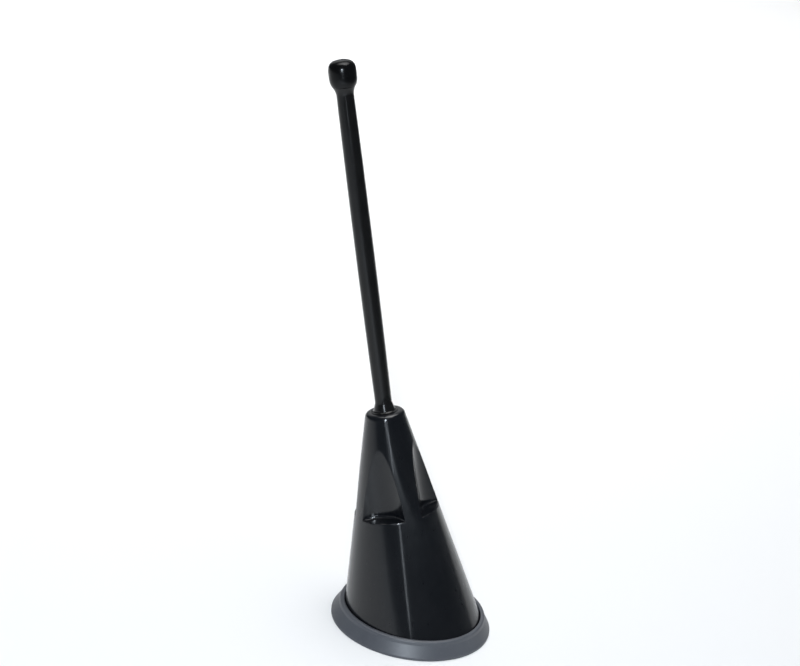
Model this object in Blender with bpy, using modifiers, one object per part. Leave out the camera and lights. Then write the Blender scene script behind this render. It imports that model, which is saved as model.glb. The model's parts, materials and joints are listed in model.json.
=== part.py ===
"""Panel-mount whip antenna: a raked cone base on a rubber gasket, a screw-in rubber whip and its hardware.

Frame: +Z is square to the panel, z = 0 is the gasket's underside and the origin is the centre of the
panel hole. The whip's axis lies in the XZ plane and leans toward -X.
"""
from math import cos, pi, radians, sin, sqrt, tan

import bmesh
import bpy
from mathutils import Matrix, Vector

for old in list(bpy.data.objects):
    bpy.data.objects.remove(old, do_unlink=True)

MM = 0.001
CLEAR = 0.3 * MM              # gap between neighbouring pieces
WELD = 0.002 * MM             # points this close become one

# Raked cone housing, sizes along or square to the whip's axis.
RAKE = radians(15.3)          # lean of the axis from +Z toward -X
CONE_ANGLE = radians(12.7)    # half angle of the cone
CONE_LENGTH = 82.1 * MM       # rim plane to the gasket's top, along the axis
RIM_RADIUS = 7.47 * MM        # cone radius at the rim plane
RIM_ROUND = 2.0 * MM
WALL = 2.4 * MM

# Four concave scallops that end in flat ledges.
SCALLOP_COUNT = 4
SCALLOP_RADIUS = 13.0 * MM
SCALLOP_NEAR = 10.5 * MM     # axis to the deepest line of a scallop
SCALLOP_END = 40.6 * MM       # rim plane to the ledges
SCALLOP_FILLET = 0.8 * MM

# Rubber gasket.
GASKET_HEIGHT = 6.8 * MM
GASKET_FLOOR = 2.6 * MM
GASKET_LIP = 2.0 * MM         # lip's width at the top
GASKET_FLARE = 4.9 * MM       # skirt's spread at the bottom
GASKET_ROUND = 1.1 * MM
GASKET_EDGE = 1.0 * MM        # height of the skirt's upright edge

# Whip: a jacket that swells slightly along its length, between a flared foot and a flared neck.
WHIP_LENGTH = 137.9 * MM      # rim plane to tip
JACKET_FOOT_RADIUS = 5.2 * MM
JACKET_LOW_RADIUS = 3.25 * MM
JACKET_TOP_RADIUS = 3.3 * MM
JACKET_SWELL = 0.3 * MM       # extra radius half way up
JACKET_FLARE = 3.6 * MM       # height of the foot's flare
JACKET_FLARE_ANGLE = radians(17.0)
JACKET_FILLET = 0.95 * MM     # height of the fillet below the conical flare
JACKET_EDGE = 0.25 * MM       # thickness of the foot's edge
JACKET_BORE = 2.5 * MM
NECK_RADIUS = 4.25 * MM       # flared neck below the tip cap
NECK_LENGTH = 2.9 * MM
NECK_POWER = 1.6              # how quickly the neck's flare dies away
SPIGOT_RADIUS = 3.1 * MM      # jacket's end inside the tip cap
SPIGOT_LENGTH = 4.0 * MM
ROD_RADIUS = 1.3 * MM
ROD_SOCKET = 3.5 * MM         # rod's length inside the cap, past the jacket
COIL_WIRE = 0.22 * MM
COIL_TURNS = 14

# Tip cap: a flattened dome on a barrel that narrows to its lower edge.
TIP_RADIUS = 5.3 * MM
TIP_LENGTH = 9.9 * MM
TIP_CROWN = 5.0 * MM          # top to the widest place
TIP_FOOT_RADIUS = 4.45 * MM
CROWN_POWER = 3.0             # 2 would be an ellipse; more is flatter
BELLY_POWER = 3.5             # how late the barrel narrows

# Whip fastening.
WHIP_THREAD_RADIUS = 2.5 * MM
WHIP_THREAD_LENGTH = 8.0 * MM
FERRULE_RADIUS = 2.2 * MM
FERRULE_LENGTH = 10.0 * MM
INSERT_RADIUS = 3.5 * MM
INSERT_FLOOR = 2.0 * MM
SEAL_RADIUS = 3.45 * MM
SEAL_CORD = 0.55 * MM

# Base plate with its square shoulder in the panel hole.
PLATE_THICK = 2.7 * MM
SHOULDER_SIDE = 16.0 * MM
SHOULDER_DROP = 2.0 * MM
BOSS_RADIUS = 2.4 * MM
BOSS_HEIGHT = 2.6 * MM

# Hollow mounting stud, nut and toothed washer.
STUD_RADIUS = 6.0 * MM
STUD_BORE = 3.6 * MM
STUD_LENGTH = 24.0 * MM       # below the panel plane
STUD_FLANGE_RADIUS = 8.6 * MM
STUD_FLANGE_THICK = 1.6 * MM
STUD_CHAMFER = 0.6 * MM
WASHER_RADIUS = 11.6 * MM
WASHER_THICK = 1.4 * MM
WASHER_DROP = 7.6 * MM        # panel plane to the washer's flat top at rest
TOOTH_COUNT = 6
TOOTH_RADIUS = 1.4 * MM
TOOTH_HEIGHT = 2.4 * MM
NUT_ACROSS_FLATS = 19.0 * MM
NUT_THICK = 6.0 * MM
NUT_CHAMFER = 1.0 * MM

# Coaxial socket in the stud.
SOCKET_DEPTH = 9.0 * MM
SOCKET_RECESS = 0.8 * MM
SOCKET_WALL = 0.6 * MM
CORE_NECK_RADIUS = 2.1 * MM
CORE_STEP = 5.0 * MM          # length of the core's slim neck in the shell
PIN_RADIUS = 0.5 * MM

# Amplifier board.
BOARD_LENGTH = 26.0 * MM
BOARD_WIDTH = 22.0 * MM
BOARD_THICK = 1.6 * MM
BOARD_SCREW_X = 10.0 * MM
BOARD_SCREW_Y = 8.0 * MM
CAN_SIZE = (7.6 * MM, 11.0 * MM, 3.4 * MM)
CAN_X = 6.2 * MM
CAN_WALL = 0.4 * MM
FILTER_SIZE = (4.2 * MM, 4.2 * MM, 1.6 * MM)
CHOKE_RADIUS = 2.5 * MM
CHOKE_CORD = 0.95 * MM
PART_X = -3.8 * MM            # choke and filter stand in line here
PART_Y = 5.4 * MM
CAPACITOR_RADIUS = 1.6 * MM
CAPACITOR_HEIGHT = 4.2 * MM
CAPACITOR_X = 4.6 * MM
CAPACITOR_Y = 8.4 * MM
FEED_RADIUS = 0.6 * MM
FEED_X = -7.6 * MM            # feed wire's landing on the board

# Screws: shank radius, head radius, head height, length under the head.
HOUSING_SCREW = (1.3 * MM, 2.3 * MM, 1.1 * MM, 8.2 * MM)
BOARD_SCREW = (1.1 * MM, 2.0 * MM, 1.2 * MM, 4.4 * MM)
PILLAR_RADIUS = 2.9 * MM
PILLAR_HEIGHT = 12.0 * MM
PILLAR_ANGLE = radians(40.0)
PILLAR_SPREAD = 0.9           # place between the centre and the housing's inner wall

# Facets around a full turn.
FINE = 64
MEDIUM = 32
COARSE = 20

# Planes that follow from the sizes above.
FOOT_Z = GASKET_FLOOR + CLEAR
PLATE_TOP = FOOT_Z + PLATE_THICK
BOARD_Z = PLATE_TOP + BOSS_HEIGHT + CLEAR
BOARD_TOP = BOARD_Z + BOARD_THICK
FLANGE_Z = PLATE_TOP + CLEAR
STUD_HOLE = STUD_RADIUS + CLEAR
SEAL_POCKET = SEAL_RADIUS + SEAL_CORD + CLEAR
SEAL_DEPTH = 2 * SEAL_CORD + 2 * CLEAR
INSERT_LENGTH = WHIP_THREAD_LENGTH + CLEAR + INSERT_FLOOR
CHAMBER_RADIUS = SCALLOP_NEAR - WALL

AXIS_UP = Vector((-sin(RAKE), 0, cos(RAKE)))


def cone_radius(depth):
    """Cone radius at a distance below the rim plane."""
    return RIM_RADIUS + depth * tan(CONE_ANGLE)


APEX_RISE = RIM_RADIUS / tan(CONE_ANGLE)    # rim plane to the cone's sharp apex
APEX_HEIGHT = (CONE_LENGTH + APEX_RISE) * cos(RAKE)
APEX = Vector((
    -APEX_HEIGHT * (tan(RAKE + CONE_ANGLE) + tan(RAKE - CONE_ANGLE)) / 2,
    0,
    GASKET_HEIGHT + APEX_HEIGHT,
))
RIM = APEX - AXIS_UP * APEX_RISE
WHIP_FRAME = Matrix.Translation(RIM) @ Matrix.Rotation(-RAKE, 4, "Y")


def level_section(z, inset=0.0):
    """Centre x and half axes of the cone's level section, with its wall moved in by inset."""
    apex = APEX - AXIS_UP * (inset / sin(CONE_ANGLE))
    drop = apex.z - z
    far = drop * tan(RAKE + CONE_ANGLE)
    near = drop * tan(RAKE - CONE_ANGLE)
    half_x = (far - near) / 2
    half_y = half_x * sqrt(1 - (sin(RAKE) / cos(CONE_ANGLE)) ** 2)
    return apex.x + (far + near) / 2, half_x, half_y


# ---------------------------------------------------------------- helpers

def new_collection(name, parent=None):
    collection = bpy.data.collections.new(name)
    (parent or bpy.context.scene.collection).children.link(collection)
    return collection


PARTS = new_collection("omnidirectional_antenna")
CUTTERS = new_collection("cutters")


def material(name, colour, roughness, metallic=0.0):
    made = bpy.data.materials.new(name)
    made.use_nodes = True
    shader = made.node_tree.nodes["Principled BSDF"]
    shader.inputs["Base Color"].default_value = (*colour, 1.0)
    shader.inputs["Roughness"].default_value = roughness
    shader.inputs["Metallic"].default_value = metallic
    made.diffuse_color = (*colour, 1.0)
    return made


def add_object(name, mesh, frame=None):
    obj = bpy.data.objects.new(name, mesh)
    CUTTERS.objects.link(obj)
    obj.matrix_world = frame or Matrix.Identity(4)
    obj.hide_render = True
    obj.display_type = "WIRE"
    return obj


def settle(obj):
    """Replace the object's mesh with its evaluated one and drop the modifiers."""
    bpy.context.view_layer.update()
    evaluated = obj.evaluated_get(bpy.context.evaluated_depsgraph_get())
    mesh = bpy.data.meshes.new_from_object(evaluated)
    obj.modifiers.clear()
    obj.data = mesh
    return obj


def finish_part(obj, look, parent=None, sharp=radians(35)):
    """Settle a piece, shade it, give it its material and move it to the parts' collection."""
    settle(obj)
    obj.data.materials.clear()
    obj.data.materials.append(look)
    obj.data.shade_smooth()
    obj.data.set_sharp_from_angle(angle=sharp)
    CUTTERS.objects.unlink(obj)
    PARTS.objects.link(obj)
    obj.hide_render = False
    obj.display_type = "TEXTURED"
    if parent:
        world = obj.matrix_world.copy()
        obj.parent = parent
        obj.matrix_world = world
    return obj


def empty(name, frame):
    guide = bpy.data.objects.new(name, None)
    PARTS.objects.link(guide)
    guide.matrix_world = frame
    return guide


def arc(centre, radius, start, end, count):
    """Points of an arc in the (radius, height) plane; angles in degrees from the +radius direction."""
    angles = [radians(start + (end - start) * i / count) for i in range(count + 1)]
    return [(centre[0] + radius * cos(a), centre[1] + radius * sin(a)) for a in angles]


def ring_profile(radius, cord, height, count):
    """Round section of a ring, running down its outer side first."""
    angles = [-2 * pi * i / count for i in range(count)]
    return [(radius + cord * cos(a), height + cord * sin(a)) for a in angles]


def turned(name, profile, frame=None, steps=MEDIUM, ring=False):
    """Turn a (radius, height) profile about Z; it runs down the outer side, and a ring's closes."""
    mesh = bpy.data.meshes.new(name)
    edges = [(i, i + 1) for i in range(len(profile) - 1)]
    if ring:
        edges.append((len(profile) - 1, 0))
    mesh.from_pydata([(r, 0, z) for r, z in profile], edges, [])
    obj = add_object(name, mesh, frame)
    screw = obj.modifiers.new("turn", "SCREW")
    screw.steps = steps
    screw.render_steps = steps
    screw.use_merge_vertices = True
    screw.merge_threshold = 0.00001
    return settle(obj)


def disc(name, radius, bottom, top, centre=(0, 0), steps=COARSE):
    profile = [(0, top), (radius, top), (radius, bottom), (0, bottom)]
    return turned(name, profile, Matrix.Translation((*centre, 0)), steps)


def block(name, size, bottom, centre=(0, 0)):
    """A box of a given (x, y, z) size standing on a level."""
    made = bmesh.new()
    bmesh.ops.create_cube(made, size=1)
    bmesh.ops.scale(made, vec=size, verts=made.verts)
    bmesh.ops.translate(made, vec=(0, 0, size[2] / 2), verts=made.verts)
    mesh = bpy.data.meshes.new(name)
    made.to_mesh(mesh)
    made.free()
    return add_object(name, mesh, Matrix.Translation((*centre, bottom)))


def clean(obj):
    """Weld points closer than a few micrometres, drop slivers and leave flat triangles."""
    made = bmesh.new()
    made.from_mesh(obj.data)
    bmesh.ops.remove_doubles(made, verts=made.verts, dist=WELD)
    bmesh.ops.dissolve_degenerate(made, edges=made.edges, dist=WELD)
    bmesh.ops.triangulate(made, faces=made.faces)
    made.to_mesh(obj.data)
    made.free()
    return obj


def combine(obj, others, operation):
    """Cut, join or intersect with closed meshes, all in one step."""
    group = new_collection(obj.name + "_" + operation.lower(), CUTTERS)
    for other in others:
        group.objects.link(clean(other))
    clean(obj)
    boolean = obj.modifiers.new(operation.lower(), "BOOLEAN")
    boolean.operand_type = "COLLECTION"
    boolean.collection = group
    boolean.operation = operation
    boolean.solver = "EXACT"
    return clean(settle(obj))


def bevel(obj, width, segments=2, angle=radians(40)):
    edge = obj.modifiers.new("edge", "BEVEL")
    edge.width = width
    edge.segments = segments
    edge.limit_method = "ANGLE"
    edge.angle_limit = angle
    return settle(obj)


def wire(name, points, radius, frame=None):
    """A round wire along a list of points, as a closed mesh."""
    curve = bpy.data.curves.new(name, "CURVE")
    curve.dimensions = "3D"
    curve.bevel_depth = radius
    curve.bevel_resolution = 2
    curve.use_fill_caps = True
    spline = curve.splines.new("POLY")
    spline.points.add(len(points) - 1)
    for point, place in zip(spline.points, points):
        point.co = (*place, 1)
    guide = bpy.data.objects.new(name + "_path", curve)
    CUTTERS.objects.link(guide)
    guide.matrix_world = frame or Matrix.Identity(4)
    bpy.context.view_layer.update()
    evaluated = guide.evaluated_get(bpy.context.evaluated_depsgraph_get())
    mesh = bpy.data.meshes.new_from_object(evaluated)
    made = bmesh.new()
    made.from_mesh(mesh)
    bmesh.ops.remove_doubles(made, verts=made.verts, dist=0.000001)
    made.to_mesh(mesh)
    made.free()
    world = guide.matrix_world.copy()
    bpy.data.objects.remove(guide, do_unlink=True)
    return add_object(name, mesh, world)


# ---------------------------------------------------------------- looks

BLACK_PLASTIC = material("black_gloss_plastic", (0.012, 0.012, 0.014), 0.28)
GASKET_RUBBER = material("grey_rubber", (0.09, 0.09, 0.10), 0.75)
WHIP_RUBBER = material("black_rubber", (0.010, 0.010, 0.011), 0.45)
SEAL_RUBBER = material("seal_rubber", (0.015, 0.015, 0.015), 0.6)
ZINC = material("die_cast_zinc", (0.50, 0.51, 0.53), 0.42, 1.0)
STEEL = material("plated_steel", (0.62, 0.62, 0.60), 0.30, 1.0)
BRASS = material("brass", (0.70, 0.52, 0.24), 0.30, 1.0)
COPPER = material("enamelled_copper", (0.72, 0.34, 0.18), 0.30, 1.0)
GLASS_FIBRE = material("glass_fibre", (0.78, 0.76, 0.62), 0.50)
BOARD_GREEN = material("board_green", (0.02, 0.16, 0.07), 0.40)
WHITE_PLASTIC = material("ptfe_white", (0.85, 0.85, 0.83), 0.50)
CERAMIC = material("ceramic", (0.60, 0.55, 0.46), 0.55)
FERRITE = material("ferrite", (0.05, 0.05, 0.055), 0.60)
CAN_TIN = material("tinned_steel", (0.72, 0.73, 0.74), 0.25, 1.0)
CAPACITOR_BLUE = material("capacitor_sleeve", (0.03, 0.06, 0.20), 0.35)


# ---------------------------------------------------------------- housing

def cone_solid(name, inset=0.0, rim_round=0.0):
    """The raked cone as a solid from its rim plane down past the gasket's floor."""
    shift = inset / cos(CONE_ANGLE)
    end = CONE_LENGTH + level_section(FOOT_Z)[1]
    low = (cone_radius(end) - shift, -end)
    if rim_round:
        tangent_drop = rim_round * (1 - sin(CONE_ANGLE))
        centre_r = cone_radius(tangent_drop) - rim_round * cos(CONE_ANGLE)
        angle = CONE_ANGLE * 180 / pi
        upper = arc((centre_r, -rim_round), rim_round, 90, angle, 6)
    else:
        upper = [(RIM_RADIUS - shift, 0)]
    profile = [(0, upper[0][1]), *upper, low, (0, low[1])]
    return turned(name, profile, WHIP_FRAME, FINE)


def scallop_cutter(index):
    """A cylinder beside the axis whose rounded lower edge leaves the fillet above a ledge."""
    turn = 2 * pi * index / SCALLOP_COUNT
    offset = SCALLOP_NEAR + SCALLOP_RADIUS
    frame = WHIP_FRAME @ Matrix.Translation((offset * cos(turn), offset * sin(turn), 0))
    frame = frame @ Matrix.Rotation(turn, 4, "Z")
    corner = (SCALLOP_RADIUS - SCALLOP_FILLET, SCALLOP_FILLET - SCALLOP_END)
    lower = arc(corner, SCALLOP_FILLET, 0, -90, 3)
    profile = [(0, RIM_RADIUS), (SCALLOP_RADIUS, RIM_RADIUS), *lower, (0, -SCALLOP_END)]
    return turned("scallop_cut_%d" % index, profile, frame, FINE)


def below(name, level):
    """A slab that removes everything under a level."""
    reach = 4 * CONE_LENGTH
    return block(name, (reach, reach, reach), level - reach)


def hollow_cutter():
    """Seal pocket, bush bore, slim chamber beside the scallops and the wide space below, in one turn."""
    pocket = -SEAL_DEPTH
    chamber = pocket - INSERT_LENGTH - WALL
    step = -(SCALLOP_END + WALL)
    end = CONE_LENGTH + level_section(FOOT_Z)[1] + WALL
    shift = WALL / cos(CONE_ANGLE)
    bore = INSERT_RADIUS + CLEAR
    profile = [
        (0, RIM_RADIUS),
        (SEAL_POCKET, RIM_RADIUS),
        (SEAL_POCKET, pocket),
        (bore, pocket),
        (bore, chamber),
        (CHAMBER_RADIUS, chamber),
        (CHAMBER_RADIUS, step),
        (cone_radius(-step) - shift, step),
        (cone_radius(end) - shift, -end),
        (0, -end),
    ]
    return turned("hollow_cut", profile, WHIP_FRAME, FINE)


def pillar_places():
    """Places of the four screw pillars, just inside the housing's inner wall."""
    centre, half_x, half_y = level_section(PLATE_TOP, WALL)
    reach_x = PILLAR_SPREAD * half_x * cos(PILLAR_ANGLE)
    reach_y = PILLAR_SPREAD * half_y * sin(PILLAR_ANGLE)
    return [(centre + sx * reach_x, sy * reach_y) for sx in (-1, 1) for sy in (-1, 1)]


def pillar(index, place):
    """A screw pillar cut back so that it stays inside the cone's outer wall."""
    low = PLATE_TOP + CLEAR
    post = disc("pillar_%d" % index, PILLAR_RADIUS, low, low + PILLAR_HEIGHT, place)
    return combine(post, [cone_solid("pillar_limit_%d" % index, inset=WALL / 2)], "INTERSECT")


def make_housing():
    housing = cone_solid("housing", rim_round=RIM_ROUND)
    scallops = [scallop_cutter(index) for index in range(SCALLOP_COUNT)]
    combine(housing, [*scallops, below("foot_cut", FOOT_Z)], "DIFFERENCE")
    combine(housing, [hollow_cutter()], "DIFFERENCE")
    combine(housing, [pillar(index, place) for index, place in enumerate(pillar_places(), 1)], "UNION")
    shank, _, head_height, length = HOUSING_SCREW
    hole_top = FOOT_Z + CLEAR + head_height + length + 2 * CLEAR
    holes = [
        disc("pillar_hole_%d" % index, shank + CLEAR, FOOT_Z, hole_top, place, 16)
        for index, place in enumerate(pillar_places(), 1)
    ]
    combine(housing, holes, "DIFFERENCE")
    finish_part(housing, BLACK_PLASTIC)


def turned_part(name, profile, look, frame=None, parent=None, steps=MEDIUM, ring=False):
    """A finished turned piece."""
    return finish_part(turned(name, profile, frame, steps, ring), look, parent)


def make_insert():
    """Threaded bush moulded into the housing's nose, blind at its lower end."""
    top = -(SEAL_DEPTH + CLEAR)
    bottom = -(SEAL_DEPTH + INSERT_LENGTH)
    bore = WHIP_THREAD_RADIUS + CLEAR
    edge = 0.4 * MM
    profile = [
        (0, bottom + INSERT_FLOOR),
        (bore, bottom + INSERT_FLOOR),
        (bore, top - edge),
        (bore + edge, top),
        (INSERT_RADIUS, top),
        (INSERT_RADIUS, bottom + edge),
        (INSERT_RADIUS - edge, bottom),
        (0, bottom),
    ]
    turned_part("mast_insert", profile, BRASS, WHIP_FRAME)


def make_feed_wire():
    """Wire from the bush down the chamber and over to its pad on the board."""
    start = RIM - AXIS_UP * (SEAL_DEPTH + INSERT_LENGTH + CLEAR)
    landing = Vector((FEED_X, 0, BOARD_TOP + CLEAR))
    bend = RIM - AXIS_UP * ((RIM.x - FEED_X) / AXIS_UP.x)
    straight = start.lerp(bend, 0.8)
    lower = bend.lerp(landing, 0.4)
    points = [start, start.lerp(straight, 0.5), straight]
    for i in range(1, 7):
        t = i / 6
        points.append(straight * (1 - t) ** 2 + bend * 2 * t * (1 - t) + lower * t ** 2)
    points.append(landing)
    finish_part(wire("feed_wire", points, FEED_RADIUS), COPPER)


# ---------------------------------------------------------------- gasket and base plate

def make_gasket():
    """Flared rubber foot with a pocket for the cone and a square hole for the shoulder."""
    centre, half_x, half_y = level_section(GASKET_HEIGHT)
    lip = half_x + GASKET_LIP
    skirt = half_x + GASKET_FLARE
    corner = (lip - GASKET_ROUND, GASKET_HEIGHT - GASKET_ROUND)
    profile = [
        (0, GASKET_HEIGHT),
        *arc(corner, GASKET_ROUND, 90, 15, 4),
        (skirt, GASKET_EDGE),
        (skirt, 0),
        (0, 0),
    ]
    narrow = Matrix.Diagonal((1, (half_y + GASKET_FLARE) / skirt, 1, 1))
    gasket = turned("gasket", profile, None, FINE)
    gasket.data.transform(narrow)
    gasket.matrix_world = Matrix.Translation((centre, 0, 0))
    pocket = cone_solid("pocket_cut", inset=-CLEAR)
    combine(pocket, [below("pocket_floor", GASKET_FLOOR)], "DIFFERENCE")
    side = SHOULDER_SIDE + 2 * CLEAR
    hole = block("shoulder_hole_cut", (side, side, 3 * GASKET_FLOOR), -GASKET_FLOOR)
    combine(gasket, [pocket, hole], "DIFFERENCE")
    finish_part(gasket, GASKET_RUBBER)


def board_screw_places():
    return [(sx * BOARD_SCREW_X, sy * BOARD_SCREW_Y) for sx in (-1, 1) for sy in (-1, 1)]


def screw_seat_cutter(index, place, hole, sink, sink_top):
    """A through hole with a counterbore from below, in one turn."""
    profile = [(0, BOARD_Z), (hole, BOARD_Z), (hole, sink_top), (sink, sink_top), (sink, 0), (0, 0)]
    return turned("seat_cut_%d" % index, profile, Matrix.Translation((*place, 0)), COARSE)


def make_base_plate():
    """Die-cast plate in the housing's foot with board bosses and the square shoulder below."""
    centre, half_x, half_y = level_section(PLATE_TOP, WALL + CLEAR)
    low_centre, low_half, _ = level_section(FOOT_Z, WALL + CLEAR)
    half_x = min(half_x, centre - low_centre + low_half)
    plate = disc("base_plate", half_x, FOOT_Z, PLATE_TOP, steps=FINE)
    plate.data.transform(Matrix.Diagonal((1, half_y / half_x, 1, 1)))
    plate.matrix_world = Matrix.Translation((centre, 0, 0))
    height = SHOULDER_DROP + FOOT_Z + PLATE_THICK / 2
    solids = [block("shoulder", (SHOULDER_SIDE, SHOULDER_SIDE, height), -SHOULDER_DROP)]
    cuts = [disc("stud_hole_cut", STUD_HOLE, -2 * SHOULDER_DROP, BOARD_Z, steps=MEDIUM)]
    boss_low = PLATE_TOP - PLATE_THICK / 3
    thread_hole = BOARD_SCREW[0] + CLEAR
    for index, place in enumerate(board_screw_places(), 1):
        solids.append(disc("boss_%d" % index, BOSS_RADIUS, boss_low, PLATE_TOP + BOSS_HEIGHT, place))
        cuts.append(disc("boss_hole_%d" % index, thread_hole, FOOT_Z + CLEAR, BOARD_Z, place, 16))
    shank, head, head_height, _ = HOUSING_SCREW
    sink_top = FOOT_Z + head_height + 2 * CLEAR
    for index, place in enumerate(pillar_places(), 1):
        cuts.append(screw_seat_cutter(index, place, shank + CLEAR, head + CLEAR, sink_top))
    combine(plate, solids, "UNION")
    combine(plate, cuts, "DIFFERENCE")
    finish_part(plate, ZINC)


def screw_profile(size, head_up):
    """Profile of a cheese-head screw whose bearing plane is at height 0."""
    shank, head, head_height, length = size
    edge = 0.3 * MM
    profile = [
        (0, head_height),
        (head - edge, head_height),
        (head, head_height - edge),
        (head, 0),
        (shank, 0),
        (shank, edge - length),
        (shank - edge, -length),
        (0, -length),
    ]
    if head_up:
        return profile
    return [(r, -z) for r, z in reversed(profile)]


def make_screws():
    housing_bearing = FOOT_Z + CLEAR / 2 + HOUSING_SCREW[2]
    for index, place in enumerate(pillar_places(), 1):
        frame = Matrix.Translation((*place, housing_bearing))
        profile = screw_profile(HOUSING_SCREW, head_up=False)
        turned_part("housing_screw_%d" % index, profile, STEEL, frame, steps=16)
    for index, place in enumerate(board_screw_places(), 1):
        frame = Matrix.Translation((*place, BOARD_TOP + CLEAR))
        profile = screw_profile(BOARD_SCREW, head_up=True)
        turned_part("board_screw_%d" % index, profile, STEEL, frame, steps=16)


# ---------------------------------------------------------------- board

def make_board():
    board = block("amplifier_board", (BOARD_LENGTH, BOARD_WIDTH, BOARD_THICK), BOARD_Z)
    low = BOARD_Z - CLEAR
    high = BOARD_TOP + CLEAR
    screw_hole = BOARD_SCREW[0] + CLEAR
    holes = [
        disc("board_hole_%d" % index, screw_hole, low, high, place, 16)
        for index, place in enumerate(board_screw_places(), 1)
    ]
    holes.append(disc("pin_hole", PIN_RADIUS + CLEAR, low, high, steps=16))
    combine(board, holes, "DIFFERENCE")
    finish_part(board, BOARD_GREEN)


def make_board_parts():
    level = BOARD_TOP + CLEAR
    can = block("shield_can", CAN_SIZE, level, (CAN_X, 0))
    inside = [side - 2 * CAN_WALL for side in CAN_SIZE[:2]]
    hollow = block("can_cut", (*inside, CAN_SIZE[2]), level - CAN_WALL, (CAN_X, 0))
    combine(can, [hollow], "DIFFERENCE")
    finish_part(can, CAN_TIN)
    finish_part(bevel(block("filter_block", FILTER_SIZE, level, (PART_X, -PART_Y)), 0.2 * MM), CERAMIC)
    ring = ring_profile(CHOKE_RADIUS, CHOKE_CORD, 0, 12)
    frame = Matrix.Translation((PART_X, PART_Y, level + CHOKE_CORD))
    turned_part("rf_choke", ring, FERRITE, frame, steps=COARSE, ring=True)
    edge = 0.3 * MM
    profile = [
        (0, CAPACITOR_HEIGHT),
        (CAPACITOR_RADIUS - edge, CAPACITOR_HEIGHT),
        (CAPACITOR_RADIUS, CAPACITOR_HEIGHT - edge),
        (CAPACITOR_RADIUS, 0),
        (0, 0),
    ]
    for index, side in enumerate((-1, 1), 1):
        frame = Matrix.Translation((CAPACITOR_X, side * CAPACITOR_Y, level))
        turned_part("capacitor_%d" % index, profile, CAPACITOR_BLUE, frame, steps=20)


# ---------------------------------------------------------------- stud, nut and socket

def make_stud():
    """Hollow threaded stud that hangs from its flange on the base plate."""
    top = FLANGE_Z + STUD_FLANGE_THICK
    profile = [
        (STUD_FLANGE_RADIUS, top),
        (STUD_FLANGE_RADIUS, FLANGE_Z),
        (STUD_RADIUS, FLANGE_Z),
        (STUD_RADIUS, STUD_CHAMFER - STUD_LENGTH),
        (STUD_RADIUS - STUD_CHAMFER, -STUD_LENGTH),
        (STUD_BORE, -STUD_LENGTH),
        (STUD_BORE, top),
    ]
    turned_part("mounting_stud", profile, ZINC, steps=MEDIUM, ring=True)


def make_socket():
    """Coaxial socket inside the stud: metal shell, insulating core and centre pin."""
    shell_radius = STUD_BORE - CLEAR
    low = SOCKET_RECESS - STUD_LENGTH
    step = low + SOCKET_DEPTH
    shell = [
        (shell_radius, step),
        (shell_radius, low),
        (shell_radius - SOCKET_WALL, low),
        (shell_radius - SOCKET_WALL, step),
    ]
    turned_part("socket_shell", shell, BRASS, steps=MEDIUM, ring=True)
    bore = PIN_RADIUS + CLEAR
    core_top = FLANGE_Z + STUD_FLANGE_THICK
    core = [
        (shell_radius, core_top),
        (shell_radius, step + CLEAR),
        (CORE_NECK_RADIUS, step + CLEAR),
        (CORE_NECK_RADIUS, step - CORE_STEP),
        (bore, step - CORE_STEP),
        (bore, core_top),
    ]
    turned_part("socket_core", core, WHITE_PLASTIC, steps=COARSE, ring=True)
    pin_low = low + 2 * CLEAR
    pin = [
        (0, BOARD_TOP + CLEAR),
        (PIN_RADIUS, BOARD_TOP),
        (PIN_RADIUS, pin_low + PIN_RADIUS),
        (0, pin_low),
    ]
    turned_part("socket_pin", pin, BRASS, steps=12)


def make_washer(axis):
    """Toothed washer that bites the panel from below."""
    bore = STUD_RADIUS + CLEAR
    top = -WASHER_DROP
    bottom = top - WASHER_THICK
    profile = [(WASHER_RADIUS, top), (WASHER_RADIUS, bottom), (bore, bottom), (bore, top)]
    washer = turned("claw_washer", profile, None, MEDIUM, ring=True)
    root = -WASHER_THICK / 2
    tooth = [(0, TOOTH_HEIGHT), (TOOTH_RADIUS, 0), (TOOTH_RADIUS, root), (0, root)]
    place = Matrix.Translation((WASHER_RADIUS - 1.2 * TOOTH_RADIUS, 0, top))
    teeth = [
        turned("tooth_%d" % index, tooth, Matrix.Rotation(2 * pi * index / TOOTH_COUNT, 4, "Z") @ place, 4)
        for index in range(TOOTH_COUNT)
    ]
    combine(washer, teeth, "UNION")
    finish_part(washer, STEEL, axis)


def make_nut(axis):
    """Hexagon nut under the washer, its corners chamfered on both faces."""
    top = -(WASHER_DROP + WASHER_THICK + CLEAR)
    bottom = top - NUT_THICK
    inner = NUT_ACROSS_FLATS / 2
    corner = inner / cos(pi / 6)
    nut = disc("mount_nut", corner, bottom, top, steps=6)
    limit = [
        (0, top),
        (inner - NUT_CHAMFER / 4, top),
        (corner + NUT_CHAMFER, top - NUT_CHAMFER),
        (corner + NUT_CHAMFER, bottom + NUT_CHAMFER),
        (inner - NUT_CHAMFER / 4, bottom),
        (0, bottom),
    ]
    combine(nut, [turned("nut_limit", limit, None, FINE)], "INTERSECT")
    bore = STUD_RADIUS + CLEAR
    combine(nut, [disc("nut_bore_cut", bore, bottom - CLEAR, top + CLEAR, steps=MEDIUM)], "DIFFERENCE")
    finish_part(nut, STEEL, axis)


# ---------------------------------------------------------------- whip

TIP_LOW = WHIP_LENGTH - TIP_LENGTH           # the cap's lower edge
NECK_TOP = TIP_LOW - CLEAR
NECK_LOW = NECK_TOP - NECK_LENGTH
JACKET_END = NECK_TOP + SPIGOT_LENGTH
ROD_END = JACKET_END + CLEAR + ROD_SOCKET


def make_seal(axis):
    """Round rubber ring pressed between the whip's foot and the housing's nose."""
    level = -(CLEAR + SEAL_CORD)
    ring = ring_profile(SEAL_RADIUS, SEAL_CORD, level, 10)
    turned_part("mast_seal_ring", ring, SEAL_RUBBER, WHIP_FRAME, axis, ring=True)


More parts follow.
